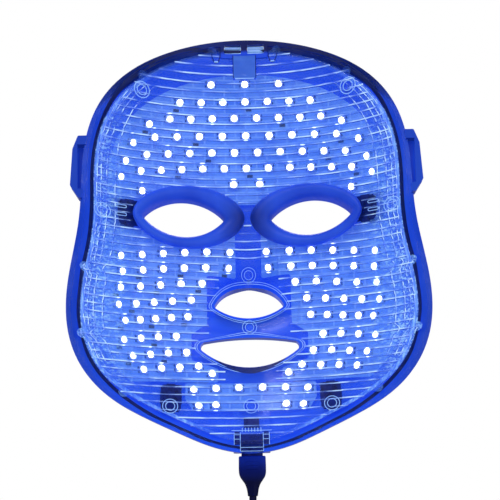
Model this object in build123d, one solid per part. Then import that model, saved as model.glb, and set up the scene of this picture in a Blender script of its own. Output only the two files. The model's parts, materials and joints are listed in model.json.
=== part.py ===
from build123d import *
from math import atan2, copysign, cos, exp, hypot, pi, radians, sin, sqrt, tan
import os

import numpy as np

# LED face mask, in millimetres. +Z is up as worn, -Y points at the wearer, and the nose sticks out
# along +Y. The origin lies at eye height on the mask's middle, level with the cheeks' rim.

# ---------------------------------------------------------------- driving dimensions
# Half of the rim's outline, from the crown to the chin, as (x, z)
RIM_POINTS = [
    (0, 109.5), (22, 107.5), (38, 102.5), (56, 94.5), (69, 85), (79, 72), (86, 57),
    (90, 40), (91.5, 22), (92.5, 5), (94.5, -11), (98, -31), (99.4, -47), (97, -66),
    (89.5, -81.5), (78, -95), (62, -104.5), (42, -114), (22, -121.5), (0, -126.5),
]
POLE_Z = -12.0  # height of the pole that the outline's radius turns about
HARMONICS = 10  # cosine terms in the rim's radius

FACE_DEPTH = 59.0  # rim plane to the liner at the pole
CHEEK_FALL = 46.4  # how much shallower the face is at the sides
CHEEK_REACH = 98.0
BROW_FALL = 16.0  # and at the crown and the chin
BROW_REACH = 112.0
EDGE_FALL = 12.6  # extra turn towards the wearer at the rim

NOSE_TOP_Z = 8.0
NOSE_TIP_Z = -40.0
NOSE_END_Z = -42.5
NOSE_HEIGHT = 20.0
NOSE_WIDTHS = (8.0, 15.0)  # at the bridge and at the tip
NOSE_END_STEP = 2.8

LINER_THICK = 1.6
LED_SIZE = 5.0
LED_THICK = 1.6
LED_BACK = 3.75  # distance of the LEDs' backs behind the wearer side
BOARD_FRONT = 4.0
BOARD_THICK = 0.6
SHELL_GAP = 7.5  # shell's inner face behind the wearer side
SHELL_EDGE_GAP = 2.0  # the same where the liner's edge lies on the shell
SHELL_THICK = 2.0
CLOSING_FROM, CLOSING_OVER = 0.80, 0.15  # where the gap closes, in shares of the rim's radius

EYE_X, EYE_Z = 36.6, 10.2  # middle of an eye opening
EYE_HALF_WIDTH = 23.4
EYE_UP, EYE_DOWN = 10.8, 10.5
CUSHION_X, CUSHION_Z = 33.2, 11.0
CUSHION_HALF = (31.8, 18.3)
CUSHION_HEIGHT = 6.5  # how far a cushion stands off the liner
SLEEVE_WALL = 2.0
SOFT_GAP = 0.3  # between a cushion and the hard parts
TUNNEL_WALL = 1.6  # walls round the nose and mouth openings

# Half width to the arcs' meeting point, its z, top z, bottom z and the rounding of the ends
NOSE_HOLE = (20.3, -40.3, -26.9, -46.8, 2.0)
MOUTH_HOLE = (31.3, -62.6, -58.7, -76.0, 3.0)

POSTS = [(81, 10.5), (58.5, 80.5), (45, -99)]  # one of each pair of posts
MIDDLE_POSTS_Z = [-20.0, -52.5, -98.5]
POST_RADIUS = 3.5
POST_BORE = 2.2
PIN_RADIUS = 2.15

SOCKET_Y = 51.0  # depth of the socket's axis, which runs along Z
SOCKET_MOUTH_Z = -124.5
SOCKET_LENGTH = 18.5
SOCKET_OUTER = (13.1, 5.7)
SOCKET_WALL = 0.35
COLLAR_HALF_WIDTH = 10.3

PLUG_TOP_Z = -126.5  # top of the plug's grip when it is pushed in
PLUG_METAL = (12.0, 4.5, 11.75)
PLUG_WALL = 0.3
GRIP = (15.4, 8.0, 10.9)
RELIEF_LENGTH = 11.4
RELIEF_TIP_RADIUS = 2.8

CABLE_RADIUS = 2.05
COIL_RADIUS = 22.5
COIL_SECTION_RADIUS = 6.3
COIL_TURNS = 7
COIL_Z = -217.0
# The lead's route in the plane y = SOCKET_Y, as (x, z), chosen to hang under the plug
RELIEF_END_Z = PLUG_TOP_Z - GRIP[2] - RELIEF_LENGTH
LEAD_ROUTE = [(0, RELIEF_END_Z), (0, -166), (-8, -184), (-18.5, -200), (-22.5, COIL_Z)]
TAIL_END_Z = -292.0
TAIL_ROUTE = [(-25, -219), (-23, -236), (-15, -252), (-4.5, -266.5), (0, -280), (0, TAIL_END_Z)]

# Rows of LEDs on the right half: (z, first x, pitch, LEDs, drop of the last). The first one at
# x = 0 is shared by both halves. The pitch closes up sideways as the face turns away.
PITCH_CLOSING = 0.2
ROW_DROOP = 0.0011
FOREHEAD_ROWS = [
    (88.8, 0.0, 20.0, 2, 0.0), (79.2, 0.0, 13.3, 4, 0.0), (70.0, 6.6, 13.1, 5, 2.7),
    (60.0, 0.0, 14.0, 6, 3.0), (50.4, 6.8, 13.5, 6, 3.5), (41.2, 0.0, 13.2, 7, 3.4),
    (31.7, 7.7, 0.0, 1, 0.0), (29.6, 60.5, 0.0, 1, 0.0),
]
CHEEK_ROWS = [
    (-7.2, 11.0, 13.3, 6, 0.0), (-16.2, 12.2, 12.9, 6, 0.0), (-25.5, 27.2, 12.2, 5, 0.0),
    (-35.3, 33.5, 10.9, 5, 0.0), (-44.9, 35.5, 9.5, 5, 0.0), (-55.8, 42.2, 10.2, 4, 0.0),
    (-65.6, 36.4, 10.5, 4, 0.0), (-74.1, 29.7, 10.8, 4, 0.0), (-78.8, 22.0, 0.0, 1, 0.0),
]
CHIN_ROWS = [(-87.6, 6.8, 13.3, 3, 0.0), (-97.3, 20.1, 9.9, 2, 0.0)]

Y_NEAR, Y_FAR = -60.0, 160.0  # how far outlines and layers are extruded
os.makedirs("parts", exist_ok=True)


# ---------------------------------------------------------------- the face's form
def harmonics(angle):
    return np.cos(np.arange(HARMONICS) * angle)


RIM_SERIES = np.linalg.lstsq(
    np.array([harmonics(atan2(x, z - POLE_Z)) for x, z in RIM_POINTS]),
    np.array([hypot(x, z - POLE_Z) for x, z in RIM_POINTS]),
    rcond=None,
)[0]


def rim_radius(angle):
    """Distance from the pole to the rim, at an angle from straight up."""
    return float(harmonics(angle) @ RIM_SERIES)


def liner_radius(angle):
    """The liner ends a few millimetres inside the rim, most at the sides and the chin."""
    return rim_radius(angle) - 5.5 - 1.5 * sin(angle) ** 2 + cos(angle)


def share_of_rim(x, z):
    """0 at the pole and 1 at the rim."""
    return hypot(x, z - POLE_Z) / rim_radius(atan2(x, z - POLE_Z))


def smooth(t):
    t = min(max(t, 0.0), 1.0)
    return t * t * (3 - 2 * t)


def nose_depth(x, z):
    down = (NOSE_TOP_Z - z) / (NOSE_TOP_Z - NOSE_TIP_Z)
    bridge, tip = NOSE_WIDTHS
    width = bridge + (tip - bridge) * min(max(down, 0.0), 1.0)
    end = 1 / (1 + exp((NOSE_END_Z - z) / NOSE_END_STEP))
    return NOSE_HEIGHT * smooth(down) * exp(-((x / width) ** 2)) * end


def face_depth(x, z):
    """Depth of the liner's wearer side."""
    share = share_of_rim(x, z)
    turn = share**8 if share < 1 else 8 * share - 7
    cheek = CHEEK_FALL * (x / CHEEK_REACH) ** 2
    brow = BROW_FALL * ((z - POLE_Z) / BROW_REACH) ** 2
    return FACE_DEPTH - cheek - brow - EDGE_FALL * turn + nose_depth(x, z)


def slopes(x, z, step=0.5):
    across = (face_depth(x + step, z) - face_depth(x - step, z)) / (2 * step)
    upward = (face_depth(x, z + step) - face_depth(x, z - step)) / (2 * step)
    return across, upward


def depth_at(x, z, distance):
    """Depth of the surface that runs parallel to the wearer side, at a distance behind it."""
    across, upward = slopes(x, z)
    return face_depth(x, z) + distance * sqrt(1 + across**2 + upward**2)


def shell_distance(x, z):
    closed = smooth((share_of_rim(x, z) - CLOSING_FROM) / CLOSING_OVER)
    return SHELL_GAP + (SHELL_EDGE_GAP - SHELL_GAP) * closed


def shell_inner(x, z):
    return depth_at(x, z, shell_distance(x, z))


def shell_outer(x, z):
    return depth_at(x, z, shell_distance(x, z) + SHELL_THICK)


# Stations of the sections that the surfaces run through, closest round the nose
HALF_X = [6, 12, 18, 26, 36, 48, 61, 74, 86, 97, 106]
STATIONS_X = [-x for x in reversed(HALF_X)] + [0] + HALF_X
SHARES_X = [(x / HALF_X[-1] + 1) / 2 for x in STATIONS_X]
STATIONS_Z = [
    -134, -127, -119, -109, -98, -87, -77, -69, -62, -56, -51, -46, -40, -32, -22, -12, -2, 8,
    20, 34, 50, 66, 82, 97, 108, 117,
]


def section(front, back, z):
    """The closed outline of a layer's cut at one height."""
    near, far = (
        Edge.make_spline([(x, depth(x, z), z) for x in STATIONS_X], parameters=SHARES_X)
        for depth in (front, back)
    )
    ends = [Line(near @ end, far @ end).edge() for end in (1, 0)]
    return Wire([near, ends[0], far, ends[1]])


SLABS = {}


def slab(front, back):
    """The whole layer between two of the face's surfaces, past the rim on every side."""
    if (front, back) not in SLABS:
        sections = [section(SURFACES[front], SURFACES[back], z) for z in STATIONS_Z]
        SLABS[front, back] = Part() + Solid.make_loft(sections)
    return SLABS[front, back]


def at_distance(distance):
    return lambda x, z: depth_at(x, z, distance)


SURFACES = {
    "cushion front": at_distance(-CUSHION_HEIGHT),
    "cushion middle": at_distance(-CUSHION_HEIGHT / 2),
    "cushion back": at_distance(-SOFT_GAP),
    "liner front": at_distance(0),
    "liner middle": at_distance(LINER_THICK / 2),
    "liner back": at_distance(LINER_THICK),
    "clear of liner": at_distance(LINER_THICK + 0.4),
    "board front": at_distance(BOARD_FRONT),
    "board back": at_distance(BOARD_FRONT + BOARD_THICK),
    "flex front": at_distance(BOARD_FRONT + BOARD_THICK + 0.05),
    "flex back": at_distance(BOARD_FRONT + BOARD_THICK + 0.3),
    "film front": at_distance(BOARD_FRONT + BOARD_THICK + 0.6),
    "film back": at_distance(BOARD_FRONT + BOARD_THICK + 0.8),
    "clear of shell": lambda x, z: shell_inner(x, z) - 0.3,
    "rib front": lambda x, z: shell_inner(x, z) - 1.6,
    "rim lip front": lambda x, z: depth_at(x, z, 0.7),
    "shell inner": shell_inner,
    "shell middle": lambda x, z: depth_at(x, z, shell_distance(x, z) + SHELL_THICK / 2),
    "shell outer": shell_outer,
    "outside": lambda x, z: 120.0,
}


# ---------------------------------------------------------------- outlines in the x-z plane
def column(outline):
    """The whole depth of space inside an x-z outline."""
    near = Plane.XZ.offset(-Y_NEAR) * outline
    return extrude(near, amount=Y_FAR - Y_NEAR, dir=(0, 1, 0))


def layer(outline, front, back):
    """The part of an outline's column between two of the face's surfaces."""
    return slab(front, back) & column(outline)


def ring_outline(radius_at, inset=0.0, count=48):
    """A closed outline about the pole from a radius that depends on the angle."""
    points = []
    for k in range(count):
        angle = 2 * pi * k / count
        radius = radius_at(angle) - inset
        points.append((radius * sin(angle), POLE_Z + radius * cos(angle)))
    return Sketch() + make_face(Spline(*points, periodic=True))


def lens(centre, half_width, up, down, grow=0.0):
    """Two arcs that meet in the corners of an eye, grown by a rounded offset."""
    x, z = centre
    top = ThreePointArc((x - half_width, z), (x, z + up), (x + half_width, z))
    bottom = ThreePointArc((x - half_width, z), (x, z - down), (x + half_width, z))
    shape = make_face([top, bottom])
    return offset(shape, amount=grow, kind=Kind.ARC) if grow else shape


def opening(hole, grow=0.0):
    """The nose or mouth opening: an upper and a lower arc with tangent arcs for ends."""
    half_width, corner_z, top_z, bottom_z, end_radius = hole
    up, down = top_z - corner_z, corner_z - bottom_z
    upper, lower = (half_width**2 + up**2) / (2 * up), (half_width**2 + down**2) / (2 * down)
    upper_z, lower_z = top_z - upper, bottom_z + lower
    reach = (upper - end_radius) ** 2 - (lower - end_radius) ** 2
    end_z = (reach + lower_z**2 - upper_z**2) / (2 * (lower_z - upper_z))
    end_x = sqrt((upper - end_radius) ** 2 - (end_z - upper_z) ** 2)

    def tangent(radius, centre_z):
        scale = (radius + grow) / (radius - end_radius)
        return end_x * scale, centre_z + (end_z - centre_z) * scale

    (top_x, top_end), (low_x, low_end) = tangent(upper, upper_z), tangent(lower, lower_z)
    tip = end_x + end_radius + grow
    arcs = [
        ThreePointArc((-top_x, top_end), (0, top_z + grow), (top_x, top_end)),
        ThreePointArc((top_x, top_end), (tip, end_z), (low_x, low_end)),
        ThreePointArc((low_x, low_end), (0, bottom_z - grow), (-low_x, low_end)),
        ThreePointArc((-low_x, low_end), (-tip, end_z), (-top_x, top_end)),
    ]
    return make_face(arcs)


def eye(side, grow=0.0):
    return lens((side * EYE_X, EYE_Z), EYE_HALF_WIDTH, EYE_UP, EYE_DOWN, grow)


def both_eyes(grow=0.0):
    return Sketch() + [eye(side, grow) for side in (-1, 1)]


def both_holes(grow=0.0):
    return Sketch() + [opening(hole, grow) for hole in (NOSE_HOLE, MOUTH_HOLE)]


def cushion_outline(side, count=24):
    """An oval that is a little sharper at its ends than an ellipse."""
    half_width, half_height = CUSHION_HALF
    points = []
    for k in range(count):
        angle = 2 * pi * k / count
        height = half_height * sin(angle) * abs(sin(angle)) ** 0.12
        points.append((side * CUSHION_X + half_width * cos(angle), CUSHION_Z + height))
    return make_face(Spline(*points, periodic=True))


def polygon(points, radius=2.0, side=1):
    """A straight-sided outline with rounded corners, mirrored for side -1."""
    shape = make_face(Polyline(*[(side * x, z) for x, z in points], close=True))
    return fillet(shape.vertices(), radius)


def discs(places, radius):
    return Sketch() + [Pos(x, z) * Circle(radius) for x, z in places]


def both_sides(places):
    return [(side * x, z) for x, z in places for side in (-1, 1)]


def box_between(low, high):
    size = [end - start for start, end in zip(low, high)]
    middle = [(start + end) / 2 for start, end in zip(low, high)]
    return Pos(*middle) * Box(*size)


ALL_POSTS = both_sides(POSTS) + [(0, z) for z in MIDDLE_POSTS_Z]


# ---------------------------------------------------------------- front shell
LUG_OUTLINE = [(85, 13.5), (92.8, 13.5), (97.2, 20.5), (95.8, 41), (92.8, 48.5), (85, 48.5)]
LUG_Y = (2.2, 12.6)
LUG_CHANNEL_Y = (6.2, 10.5)
LUG_CHANNEL_Z = (18.5, 43.5)
LUG_SLIT_X = 93.1


def strap_lug(side):
    """A bar that stands off the temple, with a strap channel behind it."""
    near, far = LUG_Y
    outline = polygon(LUG_OUTLINE, 1.0, side) - ring_outline(rim_radius, inset=1.0)
    lug = extrude(Plane.XZ.offset(-near) * outline, amount=far - near, dir=(0, 1, 0))
    bottom, top = LUG_CHANNEL_Z
    inner, outer = sorted((side * 80, side * 110))
    lug -= box_between((inner, LUG_CHANNEL_Y[0], bottom), (outer, LUG_CHANNEL_Y[1], top))
    inner, outer = sorted((side * 80, side * LUG_SLIT_X))
    return lug - box_between((inner, near - 1, bottom), (outer, LUG_CHANNEL_Y[1], top))


CROWN_SLOT_X = (1.8, 11.4)
CROWN_SLOT_Z = (103.1, 107.4)
CROWN_FRAME = [(-13.5, 101.0), (13.5, 101.0), (13.5, 112.0), (-13.5, 112.0)]


def crown_slots():
    """The outlines of the two slots for a strap over the head."""
    low, high = CROWN_SLOT_Z
    inner, outer = CROWN_SLOT_X
    slot = fillet(Rectangle(outer - inner, high - low).vertices(), 0.6)
    return Sketch() + [
        Pos(side * (inner + outer) / 2, (low + high) / 2) * slot for side in (-1, 1)
    ]


def crown_channel():
    """The rib below the crown slots, open towards them."""
    outside = polygon([(-6.6, 86.5), (6.6, 86.5), (6.6, 101.5), (-6.6, 101.5)], 1.0)
    return outside - polygon([(-5.4, 87.7), (5.4, 87.7), (5.4, 103), (-5.4, 103)], 0.5)


def socket_collar():
    """The chin's block round the socket."""
    half = COLLAR_HALF_WIDTH
    block = box_between((-half, 38, SOCKET_MOUTH_Z), (half, 57.0, -101.5))
    block = fillet(block.edges().filter_by(Axis.Z).group_by(Axis.Y)[-1], 2.5)
    return slab("clear of liner", "outside") & block


def socket_pocket():
    """Room in the collar for the socket and the board behind it."""
    wide, thick = (size / 2 + 0.05 for size in SOCKET_OUTER)
    middle = box_between((-wide, SOCKET_Y - thick, -130), (wide, SOCKET_Y + thick, -100))
    return middle + box_between((-8.8, SOCKET_Y + thick - 0.1, -122.3), (8.8, 55.1, -100))


def front_shell():
    rim = ring_outline(rim_radius)
    eye_grow = SLEEVE_WALL + SOFT_GAP
    holes = both_holes() + both_eyes(eye_grow) + crown_slots()
    lip = (rim - ring_outline(rim_radius, inset=2.2)) + (polygon(CROWN_FRAME, 1.0) & rim)
    eye_walls = both_eyes(eye_grow + TUNNEL_WALL) - both_eyes(eye_grow)
    pieces = [
        layer(lip - crown_slots(), "rim lip front", "shell middle"),
        layer(crown_channel(), "rib front", "shell middle"),
        layer(both_holes(TUNNEL_WALL) - both_holes(), "liner front", "shell middle"),
        layer(eye_walls + discs(ALL_POSTS, PIN_RADIUS), "clear of liner", "shell middle"),
        socket_collar(),
        strap_lug(-1),
        strap_lug(1),
    ]
    return layer(rim - holes, "shell inner", "shell outer") + pieces - socket_pocket()


# ---------------------------------------------------------------- liner and cushions
EDGE_TABS = [9, 30, 97, 118, 139]  # degrees from straight up
TAB_RADIUS = 2.6


def edge_tabs():
    """Half-round snap tabs on the liner's edge."""
    places = []
    for angle in map(radians, EDGE_TABS):
        radius = liner_radius(angle)
        places.append((radius * sin(angle), POLE_Z + radius * cos(angle)))
    return discs(both_sides(places), TAB_RADIUS)


def inner_liner():
    outline = ring_outline(liner_radius) + edge_tabs()
    outline -= polygon([(-14, 100.5), (14, 100.5), (14, 115), (-14, 115)], 1.0)
    outline -= both_holes(TUNNEL_WALL + 0.05) + both_eyes(SLEEVE_WALL + SOFT_GAP)
    tubes = discs(ALL_POSTS, POST_RADIUS) - discs(ALL_POSTS, POST_BORE)
    return layer(outline, "liner front", "liner back") + layer(tubes, "liner middle", "clear of shell")


def eye_cushion(side):
    """A soft ring on the liner, with a sleeve that lines the eye opening."""
    ring = layer(cushion_outline(side) - eye(side), "cushion front", "cushion back")
    return ring + layer(eye(side, SLEEVE_WALL) - eye(side), "cushion middle", "shell middle")


# ---------------------------------------------------------------- boards and what they carry
CLEARANCE = (
    discs(ALL_POSTS, POST_RADIUS + 0.5)
    + both_holes(TUNNEL_WALL + 0.5)
    + both_eyes(SLEEVE_WALL + SOFT_GAP + TUNNEL_WALL + 0.4)
)
BOARD_FIELD = ring_outline(lambda angle: 0.87 * rim_radius(angle))
FOREHEAD_OUTLINE = [(-88, 20), (88, 20), (88, 97), (-88, 97)]
CHEEK_OUTLINE = [
    (7.5, 3), (88, 3), (88, -86), (52, -84.2), (18.3, -84.2), (18.3, -76.2), (33.3, -71.2),
    (33.3, -56), (24.3, -50), (24.3, -21.5), (7.5, -21.5),
]
CHIN_OUTLINE = [(-37, -84.8), (37, -84.8), (37, -94), (32.5, -101), (-32.5, -101), (-37, -94)]


def board(outline):
    """A curved board that leaves room for the posts and the walls of the openings."""
    return layer((outline & BOARD_FIELD) - CLEARANCE, "board front", "board back")


def row_places(rows, sides=(-1, 1)):
    """(x, z) of every LED of the given rows, on one or both halves."""
    places = []
    for z, first, pitch, count, drop in rows:
        for k in range(count):
            x = first + pitch * k - PITCH_CLOSING * k * k
            last = drop if k == count - 1 else 0.0
            height = z - ROW_DROOP * x * x - last
            places += [(side * x, height) for side in (sides if x else (1,))]
    return places


def on_face(x, z, distance):
    """A plane that looks at the wearer from a distance behind the wearer side."""
    across, upward = slopes(x, z)
    return Plane(
        origin=(x, depth_at(x, z, distance), z),
        x_dir=(1, across, 0),
        z_dir=(across, -1, upward),
    )


def led():
    """A square package with a round dish in its face, standing on z = 0."""
    body = Pos(0, 0, LED_THICK / 2) * Box(LED_SIZE, LED_SIZE, LED_THICK)
    return body - Pos(0, 0, LED_THICK) * Cylinder(2.0, 0.6)


def leds(places):
    package = led()
    return Compound(children=[on_face(x, z, LED_BACK) * package for x, z in places])


def resistors():
    """A chip beside every fifth LED of the forehead and every fourth of the cheeks."""
    chip = Pos(0, 0, 0.35) * Box(3.2, 1.6, 0.6)
    places = row_places(FOREHEAD_ROWS[1:6])[::5] + row_places(CHEEK_ROWS[1:7])[::4]
    spots = [(x + copysign(2.0, x), z - 4.6) for x, z in places]
    return Compound(children=[on_face(x, z, LED_BACK + 0.1) * chip for x, z in spots])


def separate(shape):
    return Compound(children=shape.solids())


def flex_bridges():
    """Thin flexible strips on the boards' backs, from one board to the next."""
    temple = [(72.5, -2), (76.5, -2), (75.8, 26), (71.8, 26)]
    jaw = [(24, -80), (32, -80), (32, -89), (24, -89)]
    strips = [polygon(points, 0.8, side) for points in (temple, jaw) for side in (-1, 1)]
    return separate(layer(Sketch() + strips, "flex front", "flex back"))


def insulation_patches():
    """Dark film over the places without a board."""
    temple = [(60.5, 19), (73, 19), (73, 3.6), (66, 3.6), (62.5, 8)]
    jaw = [(38.5, -85.8), (51, -86.5), (47.5, -94), (40, -94.5)]
    films = [polygon(points, 1.0, side) for points in (temple, jaw) for side in (-1, 1)]
    return separate(layer((Sketch() + films) - CLEARANCE, "film front", "film back"))


# ---------------------------------------------------------------- socket
def socket_shell():
    """The socket's folded metal, open at the mouth."""
    wide, thick = SOCKET_OUTER
    top = SOCKET_MOUTH_Z + SOCKET_LENGTH
    low, high = (-wide / 2, SOCKET_Y - thick / 2), (wide / 2, SOCKET_Y + thick / 2)
    outer = box_between((*low, SOCKET_MOUTH_Z), (*high, top))
    w, t = wide / 2 - SOCKET_WALL, thick / 2 - SOCKET_WALL
    bore = box_between((-w, SOCKET_Y - t, SOCKET_MOUTH_Z - 1), (w, SOCKET_Y + t, top - 1.0))
    return outer - bore


TONGUE_TOP = SOCKET_MOUTH_Z + SOCKET_LENGTH - 1.0
TONGUE_Y = (SOCKET_Y + 0.15, SOCKET_Y + 1.75)
CONTACT_X = (-3.5, -1.0, 1.0, 3.5)


def socket_tongue():
    """The plastic blade inside the socket, on its base."""
    w, t = SOCKET_OUTER[0] / 2 - SOCKET_WALL, SOCKET_OUTER[1] / 2 - SOCKET_WALL
    base_z = TONGUE_TOP - 4.0
    base = box_between((-w, SOCKET_Y - t, base_z), (w, SOCKET_Y + t, TONGUE_TOP))
    return base + box_between((-5.4, TONGUE_Y[0], SOCKET_MOUTH_Z + 1.0), (5.4, TONGUE_Y[1], base_z))


def socket_contacts():
    """Four springs on the tongue, and their legs behind the socket."""
    pieces = []
    top = SOCKET_MOUTH_Z + SOCKET_LENGTH
    near = TONGUE_Y[0] - 0.1
    for x in CONTACT_X:
        spring = ((x - 0.5, near, SOCKET_MOUTH_Z + 2.0), (x + 0.5, TONGUE_Y[0], TONGUE_TOP - 4.0))
        leg = ((x - 0.3, SOCKET_Y - 0.2, top), (x + 0.3, SOCKET_Y + 0.2, top + 2.2))
        pieces += [box_between(*spring), box_between(*leg)]
    return Compound(children=pieces)


def socket_board():
    back = SOCKET_Y + SOCKET_OUTER[1] / 2
    return box_between((-8.5, back + 0.05, -122), (8.5, back + 0.95, -104.5))


def driver_chip():
    """A small package on the chin board's back, with four legs a side."""
    plane = on_face(13, -91.5, BOARD_FRONT + BOARD_THICK + 0.1)
    body = Pos(0, 0, -0.85) * Box(6.0, 4.0, 1.3)
    for side in (-1, 1):
        for k in range(4):
            body += Pos(-1.9 + 1.27 * k, side * 2.4, -0.35) * Box(0.4, 1.0, 0.5)
    return plane * body


# ---------------------------------------------------------------- plugs and lead
def plug_shell(top_z):
    """The plug's metal, hollow, standing up from top_z."""
    wide, thick, length = PLUG_METAL
    outer = Pos(0, SOCKET_Y, top_z + length / 2) * Box(wide, thick, length)
    inner = (wide - 2 * PLUG_WALL, thick - 2 * PLUG_WALL)
    return outer - Pos(0, SOCKET_Y, top_z + length / 2) * Box(*inner, length + 2)


def plug_insulator(top_z):
    """The plastic that fills the near half of the metal."""
    wide, thick, length = PLUG_METAL
    half = wide / 2 - PLUG_WALL
    near = SOCKET_Y - thick / 2 + PLUG_WALL
    blade = box_between((-half, near, top_z), (half, SOCKET_Y - 0.35, top_z + length - 0.4))
    root = box_between((-half, near, top_z), (half, SOCKET_Y + thick / 2 - PLUG_WALL, top_z + 1.2))
    return blade + root


def plug_contacts(top_z):
    face = SOCKET_Y - 0.35
    strips = [
        box_between((x - 0.5, face, top_z + 1.6), (x + 0.5, face + 0.12, top_z + 10.0))
        for x in CONTACT_X
    ]
    return Compound(children=strips)


def plug_grip(top_z):
    """The moulded grip below the metal, with rounded edges and three shallow grooves."""
    wide, thick, length = GRIP
    block = Pos(0, SOCKET_Y, top_z - length / 2) * Box(wide, thick, length)
    block = fillet(block.edges().filter_by(Axis.Z), 1.8)
    block = chamfer(block.edges().group_by(Axis.Z)[-1], 0.5)
    for side in (-1, 1):
        for k in range(3):
            z = top_z - 3.6 - 2.2 * k
            block -= Pos(0, SOCKET_Y + side * thick / 2, z) * Box(6.5, 0.7, 0.9)
    return block


def plug_relief(top_z):
    """The tapered sleeve from the grip to the lead."""
    wide, thick, length = GRIP
    root, tip = Ellipse(wide / 2 - 1.3, thick / 2 - 0.6), Circle(RELIEF_TIP_RADIUS)
    upper = Pos(0, SOCKET_Y, top_z - length) * root
    lower = Pos(0, SOCKET_Y, top_z - length - RELIEF_LENGTH) * tip
    return loft([lower, upper])


def upside_down(make):
    """The same piece for the plug that hangs on the lead's other end."""
    top_z = TAIL_END_Z - RELIEF_LENGTH - GRIP[2]
    return Pos(0, 0, top_z) * Rotation(180, 0, 0) * Pos(0, -2 * SOCKET_Y, 0) * make(0)


def rounded_path(route):
    """Straight runs joined by arcs as large as each pair of runs allows."""
    points = [Vector(x, SOCKET_Y, z) for x, z in route]
    radii = []
    for before, corner, after in zip(points, points[1:], points[2:]):
        turn = radians((corner - before).get_angle(after - corner))
        shorter = min((corner - before).length, (after - corner).length)
        radii.append(0.45 * shorter / tan(turn / 2))
    print("radii", [round(r, 1) for r in radii])
    return FilletPolyline(*points, radius=radii)


def lead(route):
    path = rounded_path(route)
    start = Plane(origin=path @ 0, z_dir=path % 0)
    tube = sweep(start * Circle(CABLE_RADIUS), path=path)
    expected = pi * CABLE_RADIUS**2 * path.length
    print("length", round(path.length, 1), "volume ratio", round(tube.volume / expected, 3))
    return tube


def cable_coil():
    print("coil length", round(2 * pi * COIL_RADIUS * COIL_TURNS))
    return Pos(0, SOCKET_Y, COIL_Z) * Rotation(90, 0, 0) * Torus(COIL_RADIUS, COIL_SECTION_RADIUS)


def coil_tie():
    """A strap closed round the coil's turns on the side away from the lead."""
    band = Cylinder(COIL_SECTION_RADIUS + 1.2, 9) - Cylinder(COIL_SECTION_RADIUS + 0.3, 12)
    return Pos(COIL_RADIUS, SOCKET_Y, COIL_Z) * band


# ---------------------------------------------------------------- one STEP per node
NODES = {
    "front_shell": front_shell,
    "inner_liner": inner_liner,
    "eye_cushion_left": lambda: eye_cushion(-1),
    "eye_cushion_right": lambda: eye_cushion(1),
    "forehead_led_board": lambda: board(polygon(FOREHEAD_OUTLINE, 3)),
    "cheek_led_board_left": lambda: board(polygon(CHEEK_OUTLINE, 1.5, -1)),
    "cheek_led_board_right": lambda: board(polygon(CHEEK_OUTLINE, 1.5)),
    "chin_led_board": lambda: board(polygon(CHIN_OUTLINE, 1.5)),
    "forehead_leds": lambda: leds(row_places(FOREHEAD_ROWS)),
    "cheek_leds_left": lambda: leds(row_places(CHEEK_ROWS, (-1,))),
    "cheek_leds_right": lambda: leds(row_places(CHEEK_ROWS, (1,))),
    "chin_leds": lambda: leds(row_places(CHIN_ROWS)),
    "series_resistors": resistors,
    "flex_bridges": flex_bridges,
    "insulation_patches": insulation_patches,
    "socket_shell": socket_shell,
    "socket_tongue": socket_tongue,
    "socket_contacts": socket_contacts,
    "socket_board": socket_board,
    "driver_chip": driver_chip,
    "plug_shell": lambda: plug_shell(PLUG_TOP_Z),
    "plug_insulator": lambda: plug_insulator(PLUG_TOP_Z),
    "plug_contacts": lambda: plug_contacts(PLUG_TOP_Z),
    "plug_overmould": lambda: plug_grip(PLUG_TOP_Z),
    "plug_strain_relief": lambda: plug_relief(PLUG_TOP_Z),
    "cable": lambda: lead(LEAD_ROUTE),
    "cable_coil": cable_coil,
    "coil_tie": coil_tie,
    "cable_tail": lambda: lead(TAIL_ROUTE),
    "far_plug_shell": lambda: upside_down(plug_shell),
    "far_plug_insulator": lambda: upside_down(plug_insulator),
    "far_plug_contacts": lambda: upside_down(plug_contacts),
    "far_plug_overmould": lambda: upside_down(plug_grip),
    "far_plug_strain_relief": lambda: upside_down(plug_relief),
}

for name, make in NODES.items():
    export_step(make(), f"parts/{name}.step")
    print(name)
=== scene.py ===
import json
from math import cos, pi, radians, sin

import bpy
import bmesh
import numpy as np
from mathutils import Matrix, Vector
from mathutils.bvhtree import BVHTree


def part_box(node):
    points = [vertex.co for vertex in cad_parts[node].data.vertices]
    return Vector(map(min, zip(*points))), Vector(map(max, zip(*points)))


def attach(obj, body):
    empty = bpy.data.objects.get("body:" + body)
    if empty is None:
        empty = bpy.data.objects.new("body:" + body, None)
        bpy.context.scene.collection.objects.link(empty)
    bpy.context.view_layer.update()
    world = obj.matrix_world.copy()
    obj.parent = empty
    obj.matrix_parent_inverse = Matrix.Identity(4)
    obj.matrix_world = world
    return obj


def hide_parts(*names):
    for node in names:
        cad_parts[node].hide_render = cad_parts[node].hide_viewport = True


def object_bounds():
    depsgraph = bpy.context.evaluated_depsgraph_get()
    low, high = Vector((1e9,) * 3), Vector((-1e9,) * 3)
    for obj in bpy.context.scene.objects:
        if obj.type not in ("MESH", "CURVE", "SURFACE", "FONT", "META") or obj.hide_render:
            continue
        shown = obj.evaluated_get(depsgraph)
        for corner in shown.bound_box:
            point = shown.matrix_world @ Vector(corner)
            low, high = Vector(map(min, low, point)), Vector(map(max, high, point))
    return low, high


# LED face mask, seen from the side that goes on the face. Metres, in the frame of the CAD model.

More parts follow.
